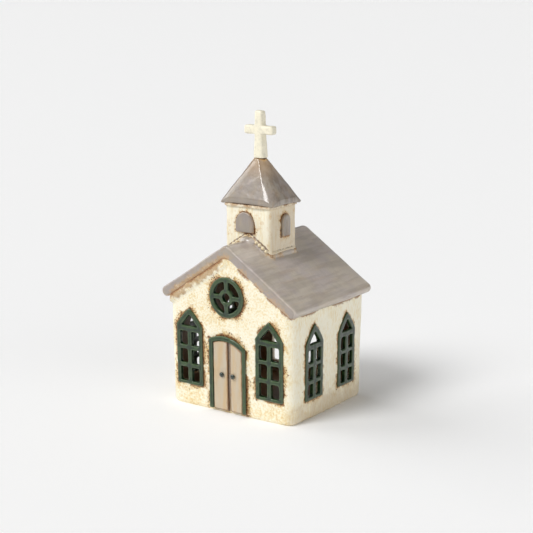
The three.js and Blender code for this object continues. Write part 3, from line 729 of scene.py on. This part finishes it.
def door_colour(tree):
    """Pinkish grey and tan in upright streaks, rusty where it runs thin."""
    glazes = bpy.context.scene.chapel_glazes
    streaks = tree.ramp(tree.noise(3.2 * MM, 4, 0.55, stretch=(1, 1, 7)), 0.35, 0.7)
    base = tree.mix(streaks, glazes.door, glazes.door_tan)
    thin = tree.group("Glaze depth", {"Thin from": 0.1, "Thin to": 0.22})["Thin"]
    return tree.mix(tree.math("MULTIPLY", thin, 0.6), base, glazes.rust)


def plain_colour(name):
    """The colour of a glaze that only varies a little in depth."""
    def colour_of(tree):
        glaze = getattr(bpy.context.scene.chapel_glazes, name)
        darker = [0.8 * c for c in glaze]
        return tree.mix(tree.ramp(tree.noise(2.5 * MM), 0.4, 0.8), glaze, darker)
    return colour_of


# Operators


class CHAPEL_OT_glazes(bpy.types.Operator):
    """Makes the glazes that the pieces share"""

    bl_idname = "chapel.glazes"
    bl_label = "Glazes"

    def execute(self, context):
        seam_stain_group()
        glaze_depth_group()
        glaze_relief_group()
        roof_colour = grey_colour((1, 9, 1), tan=0.16, streaks_and_dark_reflection=0.32, slope=1.0)
        spire_colour = grey_colour((1, 1, 5), tan=0.22, streaks_and_dark_reflection=0.7, slope=0.0)
        make_glaze("house_cream", cream_colour, (0.6, 0.5, 0.6, 0.0004), roughness=0.45, coat=0.2)
        make_glaze("belfry_cream", belfry_colour, (0.5, 0.4, 0.5, 0.0003), roughness=0.42, coat=0.3)
        make_glaze("lip_cream", lip_colour, (0.5, 0.4, 0.5, 0.0003), roughness=0.42, coat=0.3)
        make_glaze("roof_grey", roof_colour, (1.0, 0.12, 0.3, 0.0005), roughness=0.3, coat=0.7)
        make_glaze("spire_grey", spire_colour, (0.8, 0.12, 0.2, 0.0005), roughness=0.3, coat=0.8)
        make_glaze("window_green", green_colour, (0.8, 0.3, 0.2, 0.0004), roughness=0.32, coat=0.5)
        make_glaze("door_tan", door_colour, (0.5, 0.3, 0.4, 0.0003), roughness=0.45, coat=0.2)
        make_glaze("knob_dark", plain_colour("knob"), (0.3, 0.1, 0.1, 0.0002), roughness=0.25, coat=0.6)
        make_glaze("cross_cream", plain_colour("cross"), (0.5, 0.3, 0.3, 0.0003), roughness=0.4, coat=0.3)
        return {"FINISHED"}


def house_block(name, inset, bottom, top):
    """A block of the house's form, which leans outwards as it rises."""
    body = bpy.context.scene.chapel_body

    def half(size, lean, height):
        return size / 2 - inset + lean * height / body.wall_height

    low = [half(body.width, body.side_lean, bottom), half(body.depth, body.end_lean, bottom)]
    high = [half(body.width, body.side_lean, top), half(body.depth, body.end_lean, top)]
    piece = block(name, (-low[0], MIDDLE_Y - low[1], bottom), (low[0], MIDDLE_Y + low[1], top))
    pick(piece, "vertices", lambda vertex: vertex.co.z > (bottom + top) / 2)
    with editing(piece):
        bpy.ops.transform.resize(value=(high[0] / low[0], high[1] / low[1], 1),
                                 center_override=(0, MIDDLE_Y, top))
    return piece


def opening_cutters():
    """The arched opening at the back, as a block under a round head that stays clear of the sill."""
    body = bpy.context.scene.chapel_body
    clear = 2 * MM
    back = MIDDLE_Y + body.depth / 2
    reach = 3 * body.wall
    half = body.opening_width / 2
    sill = block("sill_cutter", (-half, back - reach, body.opening_sill),
                 (half, back + reach, body.opening_spring))
    arch = primitive("cylinder", "arch_cutter", vertices=96, radius=half, depth=2 * reach,
                     location=(0, back, body.opening_spring), rotation=(math.pi / 2, 0, 0))
    return sill, trim(settle(arch), (0, 0, body.opening_sill + clear), (0, 0, -1))


class CHAPEL_OT_house(bpy.types.Operator):
    """Models the four walls and the floor as one glazed skin"""

    bl_idname = "chapel.house"
    bl_label = "House"

    def execute(self, context):
        body = context.scene.chapel_body
        into_roof = 1.2 * MM
        level = 0.5 * MM
        house = house_block("house", 0, 0, GABLE + 4 * MM)
        round_edges(house, "z", body.corner)
        pick(house, "edges", lambda edge: all(house.data.vertices[i].co.z < body.foot for i in edge.vertices))
        with editing(house):
            bpy.ops.mesh.bevel(offset=body.foot, segments=2, affect="EDGES")
        under_slopes(house, GABLE + into_roof)
        cut(house, self.luting(body, into_roof), operation="UNION")
        hollow = house_block("hollow", body.wall, floor_high[2], GABLE + 8 * MM)
        cut(house, hollow, *opening_cutters())
        cut(house, *(window_cutter(node, axis) for node, axis in WINDOWS.items()))
        voxel = 0.86 * MM
        soften(house, voxel, 3)
        wander(house, size=24 * MM, depth=body.unevenness)
        wander(house, size=5 * MM, depth=0.25 * MM)
        for vertex in house.data.vertices:
            vertex.co.z = 0 if vertex.co.z < level else vertex.co.z
        survey(house, voxel, seam=[*WINDOWS, "door_frame"], eave=["roof_slab_left", "roof_slab_right"],
               leaf=["door_leaf_left", "door_leaf_right"])
        self.mark_lining(house, body)
        stand_for(house, "house_cream", "cream_glaze", "floor_slab", "front_wall", "back_wall",
                  "left_wall", "right_wall")
        return {"FINISHED"}

    def luting(self, body, into_roof):
        """The slip pressed out between the front wall and the left slope, as a raised band."""
        low = (front_low[0] + MM, front_low[1] - body.luting_out, GABLE / 2)
        high = (RIDGE_X, front_low[1] + body.wall / 2, GABLE + into_roof)
        band = under_slopes(block("luting", low, high), GABLE + into_roof)
        return cut(band, roof_wedge(GABLE - body.luting))

    def mark_lining(self, house, body):
        """Marks what lies inside the house, where the glaze is left off."""
        depth = 2.4 * MM
        values = []
        for vertex in house.data.vertices:
            x, y, z = vertex.co
            lean = z / body.wall_height
            side = body.width / 2 + body.side_lean * lean - abs(x)
            end = body.depth / 2 + body.end_lean * lean - abs(y - MIDDLE_Y)
            inside = min(side, end, z + depth)
            values.append(min(max((inside - depth) / (body.wall - depth), 0.0), 1.0))
        write(house, "lining", values)


class CHAPEL_OT_roof(bpy.types.Operator):
    """Models the two roof slabs as one glazed skin"""

    bl_idname = "chapel.roof"
    bl_label = "Roof"

    def execute(self, context):
        sizes = context.scene.chapel_roof
        ridge = ridge_height()
        roof = roof_wedge(ridge, roof_low[1], roof_high[1])
        roof.name = "roof"
        cut(roof, roof_wedge(ridge - sizes.slab / math.cos(sizes.pitch)))
        self.trim_eave(roof, sizes, -1, roof_low[0])
        self.trim_eave(roof, sizes, 1, roof_high[0])
        round_edges(roof, "y", sizes.rounding)
        modify(roof, "BEVEL", width=sizes.rake, segments=3, limit_method="ANGLE",
               angle_limit=math.radians(60))
        cut(roof, self.collar(sizes, ridge), self.hump(sizes, ridge), operation="UNION")
        vent = primitive("cylinder", "vent", vertices=48, radius=sizes.vent / 2, depth=40 * MM,
                         location=(RIDGE_X, BELFRY_Y, ridge - sizes.slab))
        cut(roof, settle(vent))
        voxel = 0.65 * MM
        soften(roof, voxel, 3)
        wander(roof, size=20 * MM, depth=sizes.unevenness)
        wander(roof, size=6 * MM, depth=0.22 * MM)
        keep_within(roof, roof_low, (*roof_high[:2], ridge + sizes.hump))
        survey(roof, voxel, seam=BELFRY_WALLS, wall=["front_wall"])
        stand_for(roof, "roof_grey", "grey_glaze", "roof_slab_left", "roof_slab_right")
        return {"FINISHED"}

    def trim_eave(self, roof, sizes, side, reach):
        """Cuts a slope off square, so far out that its rounded eave then reaches this far."""
        sine, cosine = math.sin(sizes.pitch), math.cos(sizes.pitch)
        eave = reach + side * sizes.rounding * (sine + cosine - 1)
        level = ridge_height() - abs(eave - RIDGE_X) * math.tan(sizes.pitch)
        trim(roof, (eave, 0, level), (side * cosine, 0, -sine))

    def collar(self, sizes, ridge):
        """The luting pressed up round the belfry's foot."""
        belfry = bpy.context.scene.chapel_belfry
        collar = belfry_block("collar", sizes.collar_width, ridge - 20 * MM, ridge + 10 * MM)
        round_edges(collar, "z", belfry.corner + sizes.collar_width)
        under_slopes(collar, ridge + sizes.collar_height)
        return cut(collar, roof_wedge(ridge - sizes.slab))

    def hump(self, sizes, ridge):
        """The lump of luting on the crest before the belfry."""
        size = sizes.hump
        return settle(primitive("uv_sphere", "hump", segments=32, ring_count=16, radius=size,
                                location=(RIDGE_X, belfry_low[1], ridge - size / 2), scale=(2, 1.5, 1)))


def belfry_block(name, grow, bottom, top):
    """A block of the belfry's form, grown outwards."""
    sizes = bpy.context.scene.chapel_belfry
    x, y = sizes.width / 2 + grow, sizes.depth / 2 + grow
    return block(name, (BELFRY_X - x, BELFRY_Y - y, bottom), (BELFRY_X + x, BELFRY_Y + y, top))


class CHAPEL_OT_belfry(bpy.types.Operator):
    """Models the belfry's walls astride the roof, with its panels and the lip under the spire"""

    bl_idname = "chapel.belfry"
    bl_label = "Belfry"

    def execute(self, context):
        sizes = context.scene.chapel_belfry
        foot = belfry_low[2] - 4 * MM
        top = belfry_high[2]
        crest = ridge_height() + context.scene.chapel_roof.collar_height
        sunk = 4 * MM
        belfry = round_edges(belfry_block("belfry", 0, foot, top + 0.5 * MM), "z", sizes.corner)
        slip = belfry_block("slip", sizes.slip_width, foot, top)
        round_edges(slip, "z", sizes.corner + sizes.slip_width)
        under_slopes(slip, crest + sizes.slip_height)
        cut(belfry, slip, operation="UNION")
        hollow = belfry_block("hollow", -sizes.wall, foot - 5 * MM, top + 5 * MM)
        cut(belfry, hollow, roof_wedge(crest - sunk))
        join(*self.beads(sizes, crest), belfry)
        soften(belfry, FINE, 3)
        wander(belfry, size=9 * MM, depth=0.4 * MM)
        wander(belfry, size=2.5 * MM, depth=0.2 * MM)
        survey(belfry, FINE, seam=BELFRY_PANELS)
        stand_for(belfry, "belfry_cream", "cream_glaze", *BELFRY_WALLS)
        for node in BELFRY_PANELS:
            panel = soft_copy(node, "spire_grey", "grey_glaze", size=6 * MM, depth=0.3 * MM)
            survey(panel, FINE, seam=[], wall=[])
        survey(soft_copy("belfry_lip", "lip_cream", "cream_glaze"), FINE, seam=["spire"])
        return {"FINISHED"}

    def beads(self, sizes, crest):
        """The slip beads pressed along the front seam, none quite like the next."""
        slope = math.tan(bpy.context.scene.chapel_roof.pitch)
        reach = sizes.width / 2 - sizes.corner
        count = round(2 * reach / sizes.bead_spacing)
        beads = []
        for i in range(count + 1):
            x = BELFRY_X - reach + i * 2 * reach / count
            jitter = math.sin(7 * i)
            place = (x, belfry_low[1] - sizes.bead, crest - abs(x - RIDGE_X) * slope + 0.3 * MM * jitter)
            beads.append(settle(primitive("ico_sphere", "bead", subdivisions=2, location=place,
                                          radius=sizes.bead * (1 + 0.2 * jitter))))
        return beads


class CHAPEL_OT_spire(bpy.types.Operator):
    """Models the spire, with drooping corners and rounded hips"""

    bl_idname = "chapel.spire"
    bl_label = "Spire"

    def execute(self, context):
        sizes = context.scene.chapel_belfry
        spire = block("spire_glazed", spire_low, spire_high)
        wide, streaks_and_dark_reflection = (spire_high[i] - spire_low[i] for i in (0, 1))
        middle = (BELFRY_X, BELFRY_Y, spire_high[2])
        half_way = (spire_low[2] + spire_high[2]) / 2
        pick(spire, "polygons", lambda face: face.normal.z < -0.9)
        with editing(spire):
            bpy.ops.mesh.bevel(offset=sizes.spire_edge, segments=3, affect="EDGES")
        pick(spire, "polygons", lambda face: face.normal.z > 0.9)
        with editing(spire):
            bpy.ops.mesh.extrude_region_move(TRANSFORM_OT_translate={"value": (0, 0, 0)})
            bpy.ops.transform.resize(value=(sizes.spire_top_width / wide, sizes.spire_top_depth / streaks_and_dark_reflection, 1),
                                     center_override=middle)

        def rim(vertex):
            return vertex.co.z > half_way and abs(vertex.co.x - BELFRY_X) > wide / 3

        pick(spire, "vertices", rim)
        shoulder = spire_low[2] + sizes.spire_edge + sizes.spire_shoulder
        with editing(spire):
            bpy.ops.transform.translate(value=(0, 0, shoulder - spire_high[2]))

        def hip(edge):
            a, b = (spire.data.vertices[i].co.z for i in edge.vertices)
            return abs(a - b) > half_way - spire_low[2]

        pick(spire, "edges", hip)
        with editing(spire):
            bpy.ops.mesh.bevel(offset=sizes.hip, segments=5, affect="EDGES")
        voxel = 0.45 * MM
        soften(spire, voxel, 10)
        for vertex in spire.data.vertices:
            x = 2 * abs(vertex.co.x - BELFRY_X) / wide
            y = 2 * abs(vertex.co.y - BELFRY_Y) / streaks_and_dark_reflection
            vertex.co.z -= sizes.droop * (x * y) ** 3
        wander(spire, size=12 * MM, depth=0.6 * MM)
        wander(spire, size=4 * MM, depth=0.2 * MM)
        survey(spire, voxel, seam=["cross"], wall=[])
        stand_for(spire, "spire_grey", "grey_glaze", "spire")
        return {"FINISHED"}


class CHAPEL_OT_cross(bpy.types.Operator):
    """Models the cross"""

    bl_idname = "chapel.cross"
    bl_label = "Cross"

    def execute(self, context):
        cross = soft_copy("cross", "cross_cream", "cross_glaze", passes=5, size=6 * MM, depth=0.6 * MM)
        keep_within(cross, *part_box("cross"))
        return {"FINISHED"}


class CHAPEL_OT_windows(bpy.types.Operator):
    """Models the pierced windows"""

    bl_idname = "chapel.windows"
    bl_label = "Windows"

    def execute(self, context):
        for node in WINDOWS:
            survey(soft_copy(node, "window_green", "green_glaze"), FINE)
        return {"FINISHED"}


class CHAPEL_OT_door(bpy.types.Operator):
    """Models the door: frame, leaves and knobs"""

    bl_idname = "chapel.door"
    bl_label = "Door"

    def execute(self, context):
        survey(soft_copy("door_frame", "window_green", "green_glaze", depth=0.4 * MM), FINE)
        for node in ("door_leaf_left", "door_leaf_right"):
            survey(soft_copy(node, "door_tan", "door_glaze", depth=0.4 * MM), FINE)
        for node in ("door_knob_left", "door_knob_right"):
            soft_copy(node, "knob_dark", "knob_glaze", voxel=FINE / 2, depth=0.1 * MM)
        return {"FINISHED"}


def bearing(azimuth, elevation):
    """The direction to a place that lies at this bearing from the front and this far above the horizon."""
    flat = math.cos(elevation)
    return Vector((math.sin(azimuth) * flat, -math.cos(azimuth) * flat, math.sin(elevation)))


class CHAPEL_OT_stage(bpy.types.Operator):
    """Sets up the camera, the floor and the lights"""

    bl_idname = "chapel.stage"
    bl_label = "Stage"

    def execute(self, context):
        stage = context.scene.chapel_stage
        context.scene.view_settings.view_transform = "Standard"
        back = bearing(stage.azimuth, stage.elevation)
        bpy.ops.object.camera_add(location=Vector(stage.aim) + back * stage.distance,
                                  rotation=back.to_track_quat("Z", "Y").to_euler())
        camera = context.active_object
        camera.data.lens = stage.lens
        camera.data.sensor_width = 36
        camera.data.clip_end = 200
        context.scene.camera = camera

        self.lamp(stage.key_azimuth, stage.key_elevation, stage.key_spread, stage.key_strength)
        self.lamp(stage.left_azimuth, stage.left_elevation, stage.left_spread, stage.left_strength)
        self.lamp(stage.right_azimuth, stage.right_elevation, stage.right_spread, stage.right_strength)
        self.floor()
        self.sky(stage.sky_strength)
        return {"FINISHED"}

    def lamp(self, azimuth, elevation, spread, strength):
        """A soft light from a direction, as wide as its spread."""
        towards = bearing(azimuth, elevation)
        bpy.ops.object.light_add(type="SUN", rotation=towards.to_track_quat("Z", "Y").to_euler())
        lamp = bpy.context.active_object.data
        lamp.energy = strength
        lamp.angle = spread

    def floor(self):
        """A plain white floor."""
        floor = primitive("plane", "floor", size=60)
        material = bpy.data.materials.new("pale_floor")
        material.use_nodes = True
        shader = material.node_tree.nodes["Principled BSDF"]
        shader.inputs["Base Color"].default_value = (1, 1, 1, 1)
        shader.inputs["Roughness"].default_value = 0.9
        floor.data.materials.append(material)

    def sky(self, strength):
        """Even light from all round."""
        world = bpy.data.worlds.new("studio")
        world.use_nodes = True
        bpy.context.scene.world = world
        background = world.node_tree.nodes["Background"]
        background.inputs["Color"].default_value = (1, 1, 1, 1)
        background.inputs["Strength"].default_value = strength


class CHAPEL_PT_panel(bpy.types.Panel):
    """Lists the steps that make the chapel"""

    bl_label = "Chapel"
    bl_idname = "CHAPEL_PT_panel"
    bl_space_type = "VIEW_3D"
    bl_region_type = "UI"
    bl_category = "Chapel"

    def draw(self, context):
        for group in GROUPS:
            box = self.layout.box()
            box.label(text=group.__doc__)
            settings = getattr(context.scene, scene_name(group))
            for name in group.__annotations__:
                box.prop(settings, name)
        for operator in OPERATORS:
            self.layout.operator(operator.bl_idname)


GROUPS = (ChapelBody, ChapelRoof, ChapelBelfry, ChapelGlazes, ChapelStage)
OPERATORS = (CHAPEL_OT_stage, CHAPEL_OT_glazes, CHAPEL_OT_house, CHAPEL_OT_roof, CHAPEL_OT_belfry,
             CHAPEL_OT_spire, CHAPEL_OT_cross, CHAPEL_OT_windows, CHAPEL_OT_door)


def scene_name(group):
    """The name under which the scene keeps a group of settings."""
    return "chapel_" + group.__name__.removeprefix("Chapel").lower()


def register():
    """Registers the classes and gives the scene its settings."""
    for cls in (*GROUPS, *OPERATORS, CHAPEL_PT_panel):
        bpy.utils.register_class(cls)
    for group in GROUPS:
        setattr(bpy.types.Scene, scene_name(group), PointerProperty(type=group))


def unregister():
    """Takes the settings and the classes away again."""
    for group in GROUPS:
        delattr(bpy.types.Scene, scene_name(group))
    for cls in reversed((*GROUPS, *OPERATORS, CHAPEL_PT_panel)):
        bpy.utils.unregister_class(cls)


def main():
    """Models the chapel and its stage."""
    register()
    for operator in OPERATORS:
        getattr(bpy.ops.chapel, operator.bl_idname.split(".")[1])()


if __name__ == "__main__":
    main()
